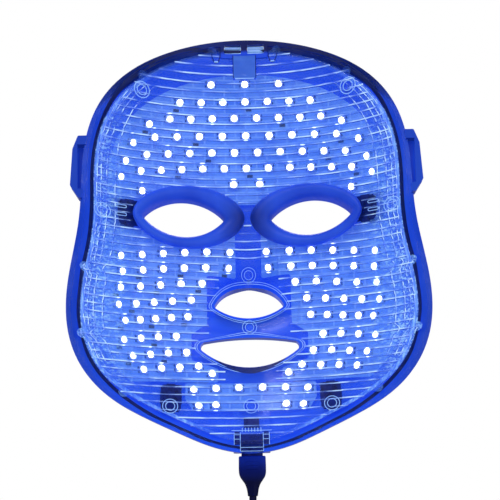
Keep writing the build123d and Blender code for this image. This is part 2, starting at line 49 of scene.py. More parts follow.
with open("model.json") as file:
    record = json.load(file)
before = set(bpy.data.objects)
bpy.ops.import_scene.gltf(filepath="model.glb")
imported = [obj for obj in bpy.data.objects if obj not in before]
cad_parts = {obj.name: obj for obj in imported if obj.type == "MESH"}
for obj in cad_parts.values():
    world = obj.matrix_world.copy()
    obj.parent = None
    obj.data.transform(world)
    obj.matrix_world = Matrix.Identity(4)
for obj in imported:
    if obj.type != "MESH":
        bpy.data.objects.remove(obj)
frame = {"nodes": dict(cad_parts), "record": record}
NODES = frame["nodes"]
CAD_BOX = [list(corner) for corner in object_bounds()]
MM = 0.001
RAY_START = 0.3  # depth, to either side, from which rays look for a surface
POLE_Z = -12 * MM  # height of the point that the outline's angles turn about
MERGE_DISTANCE = 1e-6


# ---- camera
CAMERA_PLACE = (0, -0.95325, -0.19424)
CAMERA_FORWARD = (0, 0.98325, 0.18224)
CAMERA_ROLL = -1.15  # degrees
CAMERA_LENS = 128.2  # millimetres
CAMERA_SHIFT = (0.004, -0.002)


def placed(name, data):
    """A new object in the scene."""
    made = bpy.data.objects.new(name, data)
    bpy.context.scene.collection.objects.link(made)
    return made


camera = placed("camera", bpy.data.cameras.new("camera"))
bpy.context.scene.camera = camera
camera.data.lens = CAMERA_LENS
camera.data.shift_x, camera.data.shift_y = CAMERA_SHIFT
turn = Vector(CAMERA_FORWARD).to_track_quat("-Z", "Y").to_matrix().to_4x4()
roll = Matrix.Rotation(radians(CAMERA_ROLL), 4, "Z")
camera.matrix_world = Matrix.Translation(Vector(CAMERA_PLACE)) @ turn @ roll


# ---- meshes
def new_piece(name, verts, faces, materials, indices=None, smooth=True, body="mask"):
    """A mesh piece that rides on a body, with a material index for each face."""
    mesh = bpy.data.meshes.new(name)
    mesh.from_pydata([tuple(v) for v in verts], [], faces)
    for material in materials:
        mesh.materials.append(material)
    if indices is not None:
        mesh.polygons.foreach_set("material_index", indices)
    mesh.polygons.foreach_set("use_smooth", [smooth] * len(mesh.polygons))
    tidy = bmesh.new()
    tidy.from_mesh(mesh)
    bmesh.ops.recalc_face_normals(tidy, faces=tidy.faces)
    tidy.to_mesh(mesh)
    tidy.free()
    mesh.update()
    piece = placed(name, mesh)
    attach(piece, body)
    return piece


def tree_of(*nodes):
    """A search tree over some CAD nodes' faces."""
    verts, faces = [], []
    for node in nodes:
        mesh = NODES[node].data
        start = len(verts)
        verts += [v.co.copy() for v in mesh.vertices]
        faces += [[start + i for i in p.vertices] for p in mesh.polygons]
    return BVHTree.FromPolygons(verts, faces)


def depth_on(tree, x, z, side=-1):
    """Where a line along Y first meets a surface, from the wearer's side or from outside."""
    start = Vector((x, side * RAY_START, z))
    hit = tree.ray_cast(start, Vector((0, -side, 0)))[0]
    return None if hit is None else hit.y


def around(count, closed=False):
    """Angles evenly round a circle. Closed, they end with the full turn."""
    return [2 * pi * k / count for k in range(count + closed)]


def stitched(rings, closed_ends=False):
    """Faces between closed rings with the same number of points."""
    count = len(rings[0])
    verts = [p for ring in rings for p in ring]
    faces, rows = [], []
    for r in range(len(rings) - 1):
        for k in range(count):
            a, b = r * count + k, r * count + (k + 1) % count
            faces.append((a, b, b + count, a + count))
            rows.append(r)
    if closed_ends:
        for r in (0, len(rings) - 1):
            faces.append(tuple(r * count + k for k in range(count)))
            rows.append(min(r, len(rings) - 2))
    return verts, faces, rows


# ---- materials
NOISE_LOW, NOISE_HIGH = 0.3, 0.7  # nearly all of a noise texture's values lie between these
MIX_FACTOR, MIX_FIRST, MIX_SECOND, MIX_RESULT = 0, 6, 7, 2  # a colour Mix node's sockets


class Finish:
    """A Principled material, with short calls for the nodes of its patterns."""

    def __init__(self, name, **sockets):
        self.material = bpy.data.materials.new(name)
        self.material.use_nodes = True
        self.nodes = self.material.node_tree.nodes
        self.links = self.material.node_tree.links
        self.surface = self.nodes["Principled BSDF"]
        for socket, value in sockets.items():
            self.surface.inputs[socket.replace("_", " ")].default_value = value
        self.place = self.add("TexCoord").outputs["Object"]

    def add(self, kind, inputs=(), **settings):
        made = self.nodes.new("ShaderNode" + kind)
        for key, value in settings.items():
            setattr(made, key, value)
        for key, value in dict(inputs).items():
            if isinstance(value, bpy.types.NodeSocket):
                self.links.new(value, made.inputs[key])
            else:
                made.inputs[key].default_value = value
        return made

    def stretched(self, scale):
        return self.add("Mapping", {"Vector": self.place, "Scale": scale}).outputs["Vector"]

    def noise(self, scale, detail=3.0, stretch=(1, 1, 1)):
        inputs = {"Vector": self.stretched(stretch), "Scale": scale, "Detail": detail}
        return self.add("TexNoise", inputs).outputs["Fac"]

    def ramp(self, value, *stops):
        """Colours or greys at positions from 0 to 1."""
        made = self.add("ValToRGB", {"Fac": value})
        ramp = made.color_ramp
        while len(ramp.elements) < len(stops):
            ramp.elements.new(0.5)
        for element, (position, colour) in zip(ramp.elements, stops):
            element.position = position
            grey = isinstance(colour, (int, float))
            element.color = (colour, colour, colour, 1) if grey else (*colour, 1)
        return made.outputs["Color"]

    def axis(self, name):
        return self.add("SeparateXYZ", {"Vector": self.place}).outputs[name]

    def facing_down(self):
        """1 on faces that look down, such as the roofs of the openings."""
        normal = self.add("SeparateXYZ", {"Vector": self.add("NewGeometry").outputs["Normal"]})
        return self.span(normal.outputs["Z"], -0.92, -0.7, 1.0, 0.0)

    def span(self, value, low, high, to_low=0.0, to_high=1.0):
        inputs = {"Value": value, "From Min": low, "From Max": high, "To Min": to_low, "To Max": to_high}
        return self.add("MapRange", inputs).outputs["Result"]

    def tones(self, noise, low, high):
        """One colour for a noise texture's low values and one for its high values."""
        return self.ramp(noise, (NOISE_LOW, low), (NOISE_HIGH, high))

    def spread(self, noise, low, high):
        """A noise texture's values, made to run from low to high."""
        return self.span(noise, NOISE_LOW, NOISE_HIGH, low, high)

    def calc(self, operation, first, second=0.0):
        return self.add("Math", {0: first, 1: second}, operation=operation).outputs["Value"]

    def mix(self, factor, first, second):
        made = self.add("Mix", data_type="RGBA")
        for key, value in ((MIX_FACTOR, factor), (MIX_FIRST, first), (MIX_SECOND, second)):
            if isinstance(value, bpy.types.NodeSocket):
                self.links.new(value, made.inputs[key])
            else:
                made.inputs[key].default_value = value if key == MIX_FACTOR else (*value, 1)
        return made.outputs[MIX_RESULT]

    def set(self, socket, value):
        self.links.new(value, self.surface.inputs[socket])

    def bump(self, height, strength, distance):
        inputs = {"Height": height, "Strength": strength, "Distance": distance}
        self.set("Normal", self.add("Bump", inputs).outputs["Normal"])


# Round the pole, the distances between which painted shade darkens the crown's rim, and how much nearer
# they come on either side than straight up
CROWN_SHADE_RIM = (0.1155, 0.1170)
CROWN_SQUEEZE = 1.055


def shell_finish():
    """Blue translucent plastic with a painted glow for the light inside it, and painted shade where the
    wall stands on edge and on faces that look down.
    """
    made = Finish(
        "shell_plastic", Coat_Weight=0.12, Coat_Roughness=0.1, Specular_IOR_Level=0.25,
        Emission_Strength=0.22,
    )
    depth = made.span(made.axis("Y"), 0.0, 0.055)
    cloud = made.noise(18, 2.0)
    # Painted light: the wall is lighter the further it lies along Y, away from the wearer's side
    lit = made.ramp(
        depth, (0.0, (0.008, 0.040, 0.42)), (0.35, (0.012, 0.070, 0.74)), (1.0, (0.014, 0.085, 0.84))
    )
    # Painted shade: a dark band over the crown's rim, high up
    across = made.calc("MULTIPLY", made.axis("X"), CROWN_SQUEEZE)
    up = made.calc("ADD", made.axis("Z"), -POLE_Z)
    squares = made.calc("ADD", made.calc("MULTIPLY", across, across), made.calc("MULTIPLY", up, up))
    reach = made.calc("POWER", squares, 0.5)
    high = made.span(made.axis("Z"), 0.055, 0.080)
    crown = made.calc("MULTIPLY", made.span(reach, *CROWN_SHADE_RIM), high)
    tone = made.mix(crown, lit, (0.001, 0.005, 0.10))
    clouded = made.mix(made.spread(cloud, 0, 0.25), tone, (0.03, 0.14, 0.86))
    # Painted shade darkens faces that look down; they also get less specular and coat
    down = made.facing_down()
    made.set("Base Color", made.mix(down, clouded, (0.003, 0.014, 0.20)))
    made.set("Roughness", made.spread(made.noise(240), 0.14, 0.24))
    made.set("Specular IOR Level", made.span(down, 0, 1, 0.25, 0.02))
    made.set("Coat Weight", made.span(down, 0, 1, 0.12, 0.0))
    # A painted glow in the wall's own colours
    made.set("Emission Color", tone)
    made.bump(made.noise(60, 4.0), 0.05, 0.0006)
    return made.material


def liner_finish():
    """Clear plastic with a painted glow, lighter and with painted sparks towards the temples, for the
    light its ribs catch there.
    """
    made = Finish("liner_plastic", Roughness=0.09, Specular_IOR_Level=0.5, Emission_Strength=0.3)
    side = made.span(made.calc("ABSOLUTE", made.axis("X")), 0.058, 0.086)
    comb = made.noise(420, 2.0, (0.35, 1.0, 1.6))
    flash = made.ramp(comb, (0.0, 0.0), (0.53, 0.0), (0.64, 1.0))
    spark = made.calc("MULTIPLY", flash, side)
    streak = made.noise(260, 3.0, (0.14, 0.6, 1.0))
    plain = made.ramp(streak, (0.35, (0.03, 0.14, 0.80)), (0.65, (0.12, 0.34, 0.96)))
    base = made.mix(made.calc("MULTIPLY", side, 0.7), plain, (0.20, 0.50, 0.96))
    made.set("Base Color", made.mix(spark, base, (0.42, 0.75, 1.0)))
    veil = made.span(side, 0.0, 1.0, 0.12, 0.36)
    made.set("Alpha", made.calc("ADD", veil, made.calc("MULTIPLY", spark, 0.35)))
    # A painted glow, brightest at the painted sparks
    made.set("Emission Color", made.mix(spark, (0.04, 0.12, 0.7), (0.45, 0.8, 1.0)))
    made.bump(streak, 0.15, 0.0003)
    return made.material


def rib_finish(name, bright, dark, alpha):
    """A rib's lit or shaded flank, broken along its length."""
    made = Finish(name, Roughness=0.12, Coat_Weight=0.4, Emission_Strength=0.5)
    along = made.noise(130, 3.0, (0.35, 1.0, 3.0))
    tone = made.ramp(along, (0.38, dark), (0.62, bright))
    made.set("Base Color", tone)
    made.set("Emission Color", tone)
    made.set("Alpha", made.span(along, 0.36, 0.60, alpha[0], alpha[1]))
    return made.material


def edge_band_finish():
    """The liner's edge, with painted sparks and a painted glow for the LEDs' light that it gathers;
    plainer and darker at the sides and the jaw.
    """
    made = Finish("edge_band", Roughness=0.12, Coat_Weight=0.5, Emission_Strength=0.35)
    grain = made.noise(420, 3.0, (1, 1, 0.25))
    lit = made.ramp(
        grain, (0.35, (0.05, 0.16, 0.80)), (0.52, (0.12, 0.30, 0.94)), (0.70, (0.34, 0.66, 1.0))
    )
    across = made.calc("ABSOLUTE", made.axis("X"))
    low = made.span(made.axis("Z"), -0.085, -0.070, 1.0, 0.0)
    jaw = made.calc("MULTIPLY", made.span(across, 0.016, 0.036), low)
    side = made.calc("MAXIMUM", made.span(across, 0.045, 0.072), jaw)
    tone = made.mix(side, (0.03, 0.13, 0.84), lit)
    made.set("Base Color", tone)
    made.set("Emission Color", tone)
    made.set("Alpha", made.span(side, 0.0, 1.0, 0.25, 0.75))
    made.bump(grain, 0.1, 0.0002)
    return made.material


def glint_finish():
    """A painted reflection that glows: an LED's fainter image in a rib."""
    made = Finish("glint", Roughness=0.2, Emission_Strength=1.1)
    made.set("Emission Color", made.tones(made.noise(400), (0.35, 0.66, 1.0), (0.85, 0.97, 1.0)))
    made.set("Alpha", made.span(made.noise(160), 0.3, 0.5, 0.55, 1.0))
    return made.material


def shadow_finish():
    """Dark sheets seen through clear plastic: painted shade in gaps, recesses and under the mouth, and a
    darker look for dark parts behind the plastic.
    """
    made = Finish("shadow", Roughness=0.35, Specular_IOR_Level=0.3)
    grain = made.noise(330, 3.0)
    made.set("Base Color", made.ramp(grain, (0.35, (0.002, 0.006, 0.09)), (0.65, (0.006, 0.020, 0.22))))
    made.set("Alpha", made.spread(grain, 0.80, 0.94))
    return made.material


def window_finish():
    """A flat, faintly lit panel without ribs."""
    made = Finish("window", Roughness=0.2, Specular_IOR_Level=0.3)
    made.set("Base Color", made.tones(made.noise(70), (0.05, 0.18, 0.88), (0.08, 0.24, 0.94)))
    made.set("Alpha", made.spread(made.noise(150), 0.88, 0.98))
    return made.material


def silicone_finish():
    """Soft blue rubber with a faint sheen, painted shade between the eyes and a faint painted glow."""
    made = Finish(
        "silicone", Sheen_Weight=0.12, Sheen_Roughness=0.5, Sheen_Tint=(0.25, 0.4, 1.0, 1),
        Specular_IOR_Level=0.25, Emission_Strength=0.08,
    )
    cloud = made.noise(45, 3.0)
    across = made.calc("ABSOLUTE", made.axis("X"))
    low = made.span(made.axis("Z"), 0.012, 0.030, 1.0, 0.0)
    shade = made.calc("MULTIPLY", made.span(across, 0.004, 0.017, 1.0, 0.0), low)
    plain = made.tones(cloud, (0.016, 0.078, 0.74), (0.026, 0.115, 0.88))
    made.set("Base Color", made.mix(shade, plain, (0.004, 0.022, 0.26)))
    made.set("Roughness", made.spread(made.noise(500), 0.42, 0.56))
    made.set("Specular IOR Level", made.span(made.facing_down(), 0, 1, 0.25, 0.05))
    # A painted glow for the LEDs' light
    made.set("Emission Color", made.tones(cloud, (0.01, 0.05, 0.5), (0.02, 0.08, 0.6)))
    made.bump(made.noise(900, 4.0), 0.08, 0.0002)
    return made.material


def board_finish():
    """Solder mask over fine copper lines, with a painted glow for the light of its LEDs."""
    made = Finish("board", Specular_IOR_Level=0.4, Emission_Strength=0.3)
    flat = made.add("Mapping", {"Vector": made.place, "Rotation": (pi / 2, 0, 0)}).outputs["Vector"]
    lines = made.add("TexBrick", {
        "Vector": flat, "Scale": 75.0, "Mortar Size": 0.035, "Brick Width": 0.9, "Row Height": 0.34,
    })
    where = made.stretched((1.0, 0.0, 1.0))
    cells = made.add("TexVoronoi", {"Vector": where, "Scale": 60.0}, feature="DISTANCE_TO_EDGE")
    cloud = made.noise(55, 3.0)
    base = made.tones(cloud, (0.060, 0.200, 0.74), (0.130, 0.310, 0.86))
    traced = made.mix(made.calc("MULTIPLY", lines.outputs["Fac"], 0.5), base, (0.28, 0.52, 0.96))
    edge = made.span(cells.outputs["Distance"], 0.0, 0.05, 0.35, 0.0)
    tone = made.mix(edge, traced, (0.06, 0.13, 0.62))
    made.set("Base Color", tone)
    # A painted glow in the board's own colours
    made.set("Emission Color", tone)
    made.set("Roughness", made.spread(cloud, 0.3, 0.45))
    made.bump(lines.outputs["Fac"], 0.3, 0.0002)
    return made.material


def glow_finish():
    """An LED's lit cap."""
    made = Finish("led_glow", Roughness=0.2, Emission_Strength=5.0)
    made.set("Emission Color", made.tones(made.noise(700), (0.85, 0.94, 1.0), (1.0, 1.0, 1.0)))
    return made.material


def plain_finish(name, low, high, roughness, scale=300.0, bump=0.1, stretch=(1, 1, 1), **sockets):
    """Two tones of one colour in fine grain, with matching roughness and bump."""
    made = Finish(name, **sockets)
    grain = made.noise(scale, 4.0, stretch)
    made.set("Base Color", made.tones(grain, low, high))
    made.set("Roughness", made.spread(grain, *roughness))
    made.bump(grain, bump, 0.0002)
    return made.material


def grip_finish():
    """Dark soft plastic with painted light from the mask, lighter towards the socket."""
    made = Finish("grip", Specular_IOR_Level=0.08)
    grain = made.noise(420, 4.0)
    near = made.span(made.axis("Z"), -0.141, -0.127)
    lit = made.ramp(
        near, (0.0, (0.001, 0.003, 0.040)), (0.5, (0.003, 0.014, 0.22)), (1.0, (0.010, 0.050, 0.60))
    )
    made.set("Base Color", made.mix(made.spread(grain, 0, 0.2), lit, (0.002, 0.006, 0.10)))
    made.set("Roughness", made.spread(grain, 0.36, 0.5))
    made.bump(grain, 0.12, 0.0002)
    return made.material


SHELL = shell_finish()
LINER = liner_finish()
RIB_LIT = rib_finish("rib_lit", (0.50, 0.74, 1.0), (0.12, 0.26, 0.9), (0.12, 0.85))
RIB_SHADE = rib_finish("rib_shade", (0.006, 0.035, 0.36), (0.02, 0.08, 0.55), (0.45, 0.85))
SILICONE = silicone_finish()
BOARD = board_finish()
GLOW = glow_finish()
PACKAGE = plain_finish("led_package", (0.30, 0.48, 0.98), (0.50, 0.66, 1.0), (0.3, 0.45))
PAD = plain_finish("led_pad", (0.012, 0.03, 0.20), (0.02, 0.06, 0.32), (0.3, 0.5))
CHIP = plain_finish("chip", (0.010, 0.012, 0.03), (0.02, 0.025, 0.06), (0.45, 0.6))
FLEX = plain_finish("flex", (0.05, 0.09, 0.5), (0.09, 0.15, 0.65), (0.3, 0.45))
FILM = plain_finish("film", (0.002, 0.005, 0.07), (0.004, 0.012, 0.14), (0.3, 0.45))
METAL = plain_finish(
    "metal", (0.03, 0.04, 0.16), (0.06, 0.08, 0.24), (0.25, 0.4), 260, 0.15, (1, 1, 0.06), Metallic=1.0
)
CONTACT = plain_finish("contact", (0.72, 0.53, 0.20), (0.86, 0.68, 0.33), (0.2, 0.3), Metallic=1.0)
INSULATOR = plain_finish("insulator", (0.010, 0.012, 0.022), (0.02, 0.022, 0.035), (0.4, 0.55))
GRIP = grip_finish()
JACKET = plain_finish(
    "jacket", (0.002, 0.003, 0.03), (0.004, 0.007, 0.06), (0.4, 0.55), 350, 0.12, Specular_IOR_Level=0.1
)
TIE = plain_finish("tie", (0.010, 0.010, 0.014), (0.03, 0.03, 0.04), (0.75, 0.9), 900, 0.6)
# Painted highlights that glow: the bright lines, rings and bars in the clear plastic
EDGE_LIGHT = plain_finish(
    "edge_light", (0.22, 0.42, 0.98), (0.42, 0.66, 1.0), (0.12, 0.25), 200, 0.1,
    Emission_Color=(0.22, 0.5, 1.0, 1), Emission_Strength=0.25,
)
EDGE_BAND = edge_band_finish()
GLINT = glint_finish()
SHADOW = shadow_finish()
WINDOW = window_finish()

FINISHES = {
    "shell_plastic": SHELL, "liner_plastic": LINER, "silicone": SILICONE, "board": BOARD,
    "led": PACKAGE, "chip": CHIP, "flex": FLEX, "film": FILM, "metal": METAL,
    "contact": CONTACT, "insulator": INSULATOR, "grip": GRIP, "jacket": JACKET, "tie": TIE,
}
for part in frame["record"]["subparts"]:
    data = NODES[part["node"]].data
    data.materials.clear()
    data.materials.append(FINISHES[part["material_slot"]])


# ---- the lead, one curve
LEAD_Y = 51 * MM
COIL_CENTRE_Z = -217 * MM
COIL_RADIUS = 22.5 * MM
CORD_DIAMETER = 4.1 * MM
TURNS = 7
POINTS_PER_TURN = 24
ROW, COLUMN = 3.8 * MM, 2.2 * MM
# Where each turn lies in the bundle: how far out of the coil's radius, and how far back
PLACES = [(1, -1), (-1, -1), (-2, 0), (0, 0), (2, 0), (1, 1), (-1, 1)]
CROSSING = 0.12  # share of a turn in which all turns move to their next places


def coil_point(turns):
    """A point of the coil's centreline, some turns after the coil's left side."""
    index = min(int(turns), TURNS - 1)
    share = turns - index
    moved = min(max((share - 1 + CROSSING) / CROSSING, 0.0), 1.0)
    out, back = PLACES[index]
    if index + 1 < TURNS:
        next_out, next_back = PLACES[index + 1]
        out += (next_out - out) * moved
        back += (next_back - back) * moved
    radius = COIL_RADIUS + out * COLUMN
    angle = pi + 2 * pi * turns
    return (radius * cos(angle), LEAD_Y + back * ROW, COIL_CENTRE_Z + radius * sin(angle))


LEAD_ROUTE = [
    (0, 0.051, -0.1488), (0, 0.051, -0.166), (-0.008, 0.0495, -0.184), (-0.0190, 0.0440, -0.200),
]
TAIL_ROUTE = [
    (-0.0225, 0.0592, -0.2250), (-0.022, 0.0592, -0.238), (-0.015, 0.055, -0.252),
    (-0.0045, 0.051, -0.2665), (0, 0.051, -0.280), (0, 0.051, -0.292),
]
coil_route = [coil_point(k / POINTS_PER_TURN) for k in range(TURNS * POINTS_PER_TURN)]
route = LEAD_ROUTE + coil_route + TAIL_ROUTE

curve = bpy.data.curves.new("lead", "CURVE")
curve.dimensions = "3D"
curve.bevel_depth = CORD_DIAMETER / 2
curve.bevel_resolution = 5
curve.resolution_u = 6
curve.use_fill_caps = True
spline = curve.splines.new("NURBS")
spline.points.add(len(route) - 1)
for point, place in zip(spline.points, route):
    point.co = (*place, 1)
spline.order_u = 3
spline.use_endpoint_u = True
curve.materials.append(JACKET)
lead = placed("lead", curve)
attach(lead, "plug_and_lead")
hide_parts("cable", "cable_coil", "cable_tail")


# ---- plug grips
# Down a plug's soft body: distance from its top, half width and half thickness, in millimetres
BODY = [
    (0.0, 6.9, 3.4), (0.0, 7.35, 3.8), (0.35, 7.6, 3.98), (2.5, 7.6, 4.0), (5.5, 7.68, 4.0),
    (8.5, 7.7, 3.95), (10.4, 7.45, 3.8), (12.0, 6.75, 3.55), (13.6, 5.6, 3.3), (15.2, 4.45, 3.1),
    (16.8, 3.75, 2.95), (18.8, 3.25, 2.85), (20.8, 2.95, 2.75), (22.1, 2.85, 2.7), (22.3, 2.6, 2.45),
]
BODY_SIDES = 56
SHOULDER = (9, 6)  # where the square section starts to turn round, and over how many millimetres


def plug_body(grip, relief, name, down):
    """The soft body of a plug, from its grip through a smooth shoulder to the lead."""
    low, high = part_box(grip)
    top = high.z if down < 0 else low.z
    middle_y = (low.y + high.y) / 2
    rings = []
    for distance, half_x, half_y in BODY:
        power = 2 + 2.6 * max(0.0, 1 - max(0.0, distance - SHOULDER[0]) / SHOULDER[1])
        ring = []
        for angle in around(BODY_SIDES):
            size = (abs(cos(angle)) ** power + abs(sin(angle)) ** power) ** (-1 / power)
            x, y = half_x * size * cos(angle), half_y * size * sin(angle)
            ring.append((x * MM, middle_y + y * MM, top + down * distance * MM))
        rings.append(ring)
    verts, faces, _ = stitched(rings, closed_ends=True)
    piece = new_piece(name, verts, faces, [GRIP], body="plug_and_lead")
    rounder = piece.modifiers.new("rounder", "SUBSURF")
    rounder.levels = rounder.render_levels = 2
    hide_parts(grip, relief)
    return piece


RIDGE_FIRST, RIDGE_PITCH = 3.6, 2.2  # millimetres down the grip
# Along a ridge: its place and half height. Across it: share of the half height, and the rise.
RIDGE_LENGTH = ((-3.2, 0.15), (-2.9, 0.4), (2.9, 0.4), (3.2, 0.15))
RIDGE_SECTION = ((-1, -0.25), (-0.4, 0.14), (0.4, 0.14), (1, -0.25))


def finger_ridges(grip, name, down):
    """Three low bars on the front and the back of a grip."""
    low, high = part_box(grip)
    top = high.z if down < 0 else low.z
    verts, faces = [], []
    for y, out in ((low.y, -1), (high.y, 1)):
        for k in range(3):
            z = top + down * (RIDGE_FIRST + RIDGE_PITCH * k) * MM
            start = len(verts)
            for x, half in RIDGE_LENGTH:
                for share, rise in RIDGE_SECTION:
                    verts.append((x * MM, y + out * rise * MM, z + share * half * MM))
            for row in range(3):
                for j in range(3):
                    a = start + 4 * row + j
                    faces.append((a, a + 1, a + 5, a + 4))
    piece = new_piece(name, verts, faces, [GRIP], body="plug_and_lead")
    return piece


plug_body("plug_overmould", "plug_strain_relief", "plug_body", -1)
finger_ridges("plug_overmould", "plug_finger_ridges", -1)
far_body = plug_body("far_plug_overmould", "far_plug_strain_relief", "far_plug_body", 1)
far_ridges = finger_ridges("far_plug_overmould", "far_plug_finger_ridges", 1)

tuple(LEAD_ROUTE[0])


# ---- eye cushions
RING_REACH, RING_STEP = 0.045, 0.0005  # how far out a ring is looked for, and in what steps


def rim_of(tree, centre, angle):
    """The nearest and furthest distance from a point at which a ring's column is met."""
    def met(r):
        return depth_on(tree, centre[0] + r * cos(angle), centre[1] + r * sin(angle)) is not None

    def between(outside, inside):
        for _ in range(12):
            middle = (outside + inside) / 2
            if met(middle):
                inside = middle
            else:
                outside = middle
        return inside

    steps = [RING_STEP * k for k in range(4, int(RING_REACH / RING_STEP))]
    inside = [r for r in steps if met(r)]
    return between(inside[0] - RING_STEP, inside[0]), between(inside[-1] + RING_STEP, inside[-1])


# Across a cushion from its outer foot to its inner lip: share of the way, share of the height
CROWN = [
    (0.0, 0.05), (0.0, 0.32), (0.035, 0.52), (0.09, 0.70), (0.17, 0.85), (0.28, 0.955), (0.40, 1.0),
    (0.53, 0.985), (0.66, 0.92), (0.78, 0.80), (0.88, 0.63), (0.95, 0.42), (1.0, 0.16),
]
CUSHION_HEIGHT = 6.3 * MM
CUSHION_POINTS = 96
SLEEVE_WALL = 1.9 * MM
SLEEVE_GAP = 0.1 * MM  # how far the sleeve's end stays short of the CAD solid's


def eye_cushion(side):
    """A crowned silicone ring with a sleeve through the eye opening."""
    word = "left" if side < 0 else "right"
    node = f"eye_cushion_{word}"
    low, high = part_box(node)
    tree = tree_of(node)
    centre = ((low.x + high.x) / 2 + side * 3 * MM, (low.z + high.z) / 2)
    inner, outer, front, back = [], [], [], []
    for angle in around(CUSHION_POINTS):
        near, far = rim_of(tree, centre, angle)
        inner.append(near)
        outer.append(far)
        way = (cos(angle), sin(angle))

        def seen(r, from_side=-1):
            return depth_on(tree, centre[0] + r * way[0], centre[1] + r * way[1], from_side)

        front.append([seen(far + (near - far) * (0.04 + 0.92 * t)) for t, _ in CROWN])
        back.append(seen(near + 1.0 * MM, 1))

    def ring_at(distances, depths):
        return [
            (centre[0] + r * cos(angle), y, centre[1] + r * sin(angle))
            for angle, r, y in zip(around(CUSHION_POINTS), distances, depths)
        ]

    rings = []
    for j, (t, share) in enumerate(CROWN):
        distances = [far + (near - far) * t for near, far in zip(inner, outer)]
        rings.append(ring_at(distances, [depths[j] + CUSHION_HEIGHT * (1 - share) for depths in front]))
    foot = [ring[-1] + CUSHION_HEIGHT * 0.95 for ring in front]
    sleeve = [r + SLEEVE_WALL for r in inner]
    end = [b - SLEEVE_GAP for b in back]

    def down_sleeve(share):
        return [f + (b - f) * share for f, b in zip(foot, back)]

    rings += [ring_at(inner, down_sleeve(share)) for share in (0.25, 0.6, 0.97)]
    rings += [ring_at(inner, end), ring_at(sleeve, end), ring_at(sleeve, down_sleeve(0.5))]
    rings += [ring_at(sleeve, foot), rings[0]]
    verts, faces, _ = stitched(rings)
    piece = new_piece(f"eye_ring_{word}", verts, faces, [SILICONE], body=f"cushion_{word}")
    joined = bmesh.new()
    joined.from_mesh(piece.data)
    bmesh.ops.remove_doubles(joined, verts=joined.verts, dist=MERGE_DISTANCE)
    for _ in range(4):
        bmesh.ops.smooth_vert(
            joined, verts=joined.verts, factor=0.35, use_axis_x=False, use_axis_y=True, use_axis_z=False
        )
    joined.to_mesh(piece.data)
    joined.free()
    rounder = piece.modifiers.new("rounder", "SUBSURF")
    rounder.levels = rounder.render_levels = 1
    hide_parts(node)
    return piece


eye_cushion(-1)
eye_cushion(1)


# ---- the liner's ribs
LINER_TREE = tree_of("inner_liner")
CUSHION_TREE = tree_of("eye_cushion_left", "eye_cushion_right")
RIB_PITCH = 4.5 * MM
RIB_STEP = 1.5 * MM
RIB_HALF = 0.62 * MM
RIB_HEIGHT = 0.42 * MM
LINER_LOW, LINER_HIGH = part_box("inner_liner")
FIRST_RIB = LINER_LOW.z + 5 * MM
RIB_SECTION = ((-1.0, -0.12), (-0.35, 1.0), (0.35, 1.0), (1.0, -0.12))  # share of half, share of height
SHORTEST_RUN = 4  # points
LARGEST_STEP = 3 * MM  # in depth, from one point of a run to the next


def on_liner(x, z):
    """Depth of the liner's bare wearer side, or None where there is none."""
    y = depth_on(LINER_TREE, x, z)
    return None if y is None or depth_on(CUSHION_TREE, x, z) is not None else y


def runs_of(places):
    """Splits a line of (u, v, y or None) into stretches that lie on the liner."""
    run = []
    for place in places:
        broken = run and place[2] is not None and abs(place[2] - run[-1][2]) > LARGEST_STEP
        if place[2] is None or broken:
            if len(run) >= SHORTEST_RUN:
                yield run
            run = []
        if place[2] is not None:
            run.append(place)
    if len(run) >= SHORTEST_RUN:
        yield run


def ridge(run, across, half, height, verts, faces, indices):
    """A low ridge along a run on the liner: a lit flank and crest, and a shaded flank."""
    start = len(verts)
    last = len(run) - 1
    for k, (x, z, y) in enumerate(run):
        fade = min(1.0, 0.25 + min(k, last - k) / 2)
        for share, up in RIB_SECTION:
            px, pz = x + across[0] * share * half, z + across[1] * share * half
            base = on_liner(px, pz)
            if base is None or abs(base - y) > 1.5 * MM:
                base = y
            verts.append((px, base - up * height * fade, pz))
    for k in range(last):
        for j in range(3):
            a = start + 4 * k + j
            faces.append((a, a + 1, a + 5, a + 4))
            indices.append(1 if j == 0 else 0)


# Half width, bottom z and top z of the places without ribs
SMOOTH_PLACES = [(17, -46, -14), (22, -59, -46), (14, -85, -76)]


def without_ribs(x, z):
    """Whether a place lies beside the nose, between the openings or under the mouth."""
    return any(abs(x) < half * MM and low * MM < z < high * MM for half, low, high in SMOOTH_PLACES)


def cross_ribs():
    """The optical ribs that run across the whole liner."""
    verts, faces, indices = [], [], []
    xs = np.arange(LINER_LOW.x, LINER_HIGH.x, RIB_STEP)
    z = FIRST_RIB
    while z < LINER_HIGH.z - 3 * MM:
        line = [(x, z, None if without_ribs(x, z) else on_liner(x, z)) for x in xs]
        for run in runs_of(line):
            ridge(run, (0, 1), RIB_HALF, RIB_HEIGHT, verts, faces, indices)
        z += RIB_PITCH
    piece = new_piece("liner_cross_ribs", verts, faces, [RIB_LIT, RIB_SHADE], indices)


EDGE_RIB_INSETS = (1.6 * MM, 3.6 * MM, 6.4 * MM, 11 * MM)


def edge_ribs():
    """Fine upright ribs near the liner's edge at the temples and cheeks."""
    verts, faces, indices = [], [], []
    zs = np.arange(-0.075, 0.085, 2 * MM)
    edge = []
    for z in zs:
        x = LINER_HIGH.x
        while x > 0.05 and depth_on(LINER_TREE, x, z) is None:
            x -= 0.5 * MM
        edge.append(x)
    for inset in EDGE_RIB_INSETS:
        for side in (-1, 1):
            line = [(side * (x - inset), z, on_liner(side * (x - inset), z)) for x, z in zip(edge, zs)]
            for run in runs_of(line):
                ridge(run, (side, 0), 0.45 * MM, 0.35 * MM, verts, faces, indices)
    piece = new_piece("liner_edge_ribs", verts, faces, [RIB_LIT, RIB_SHADE], indices)


EDGE_POINTS = 240
EDGE_REACH = 0.125  # beyond the outline everywhere


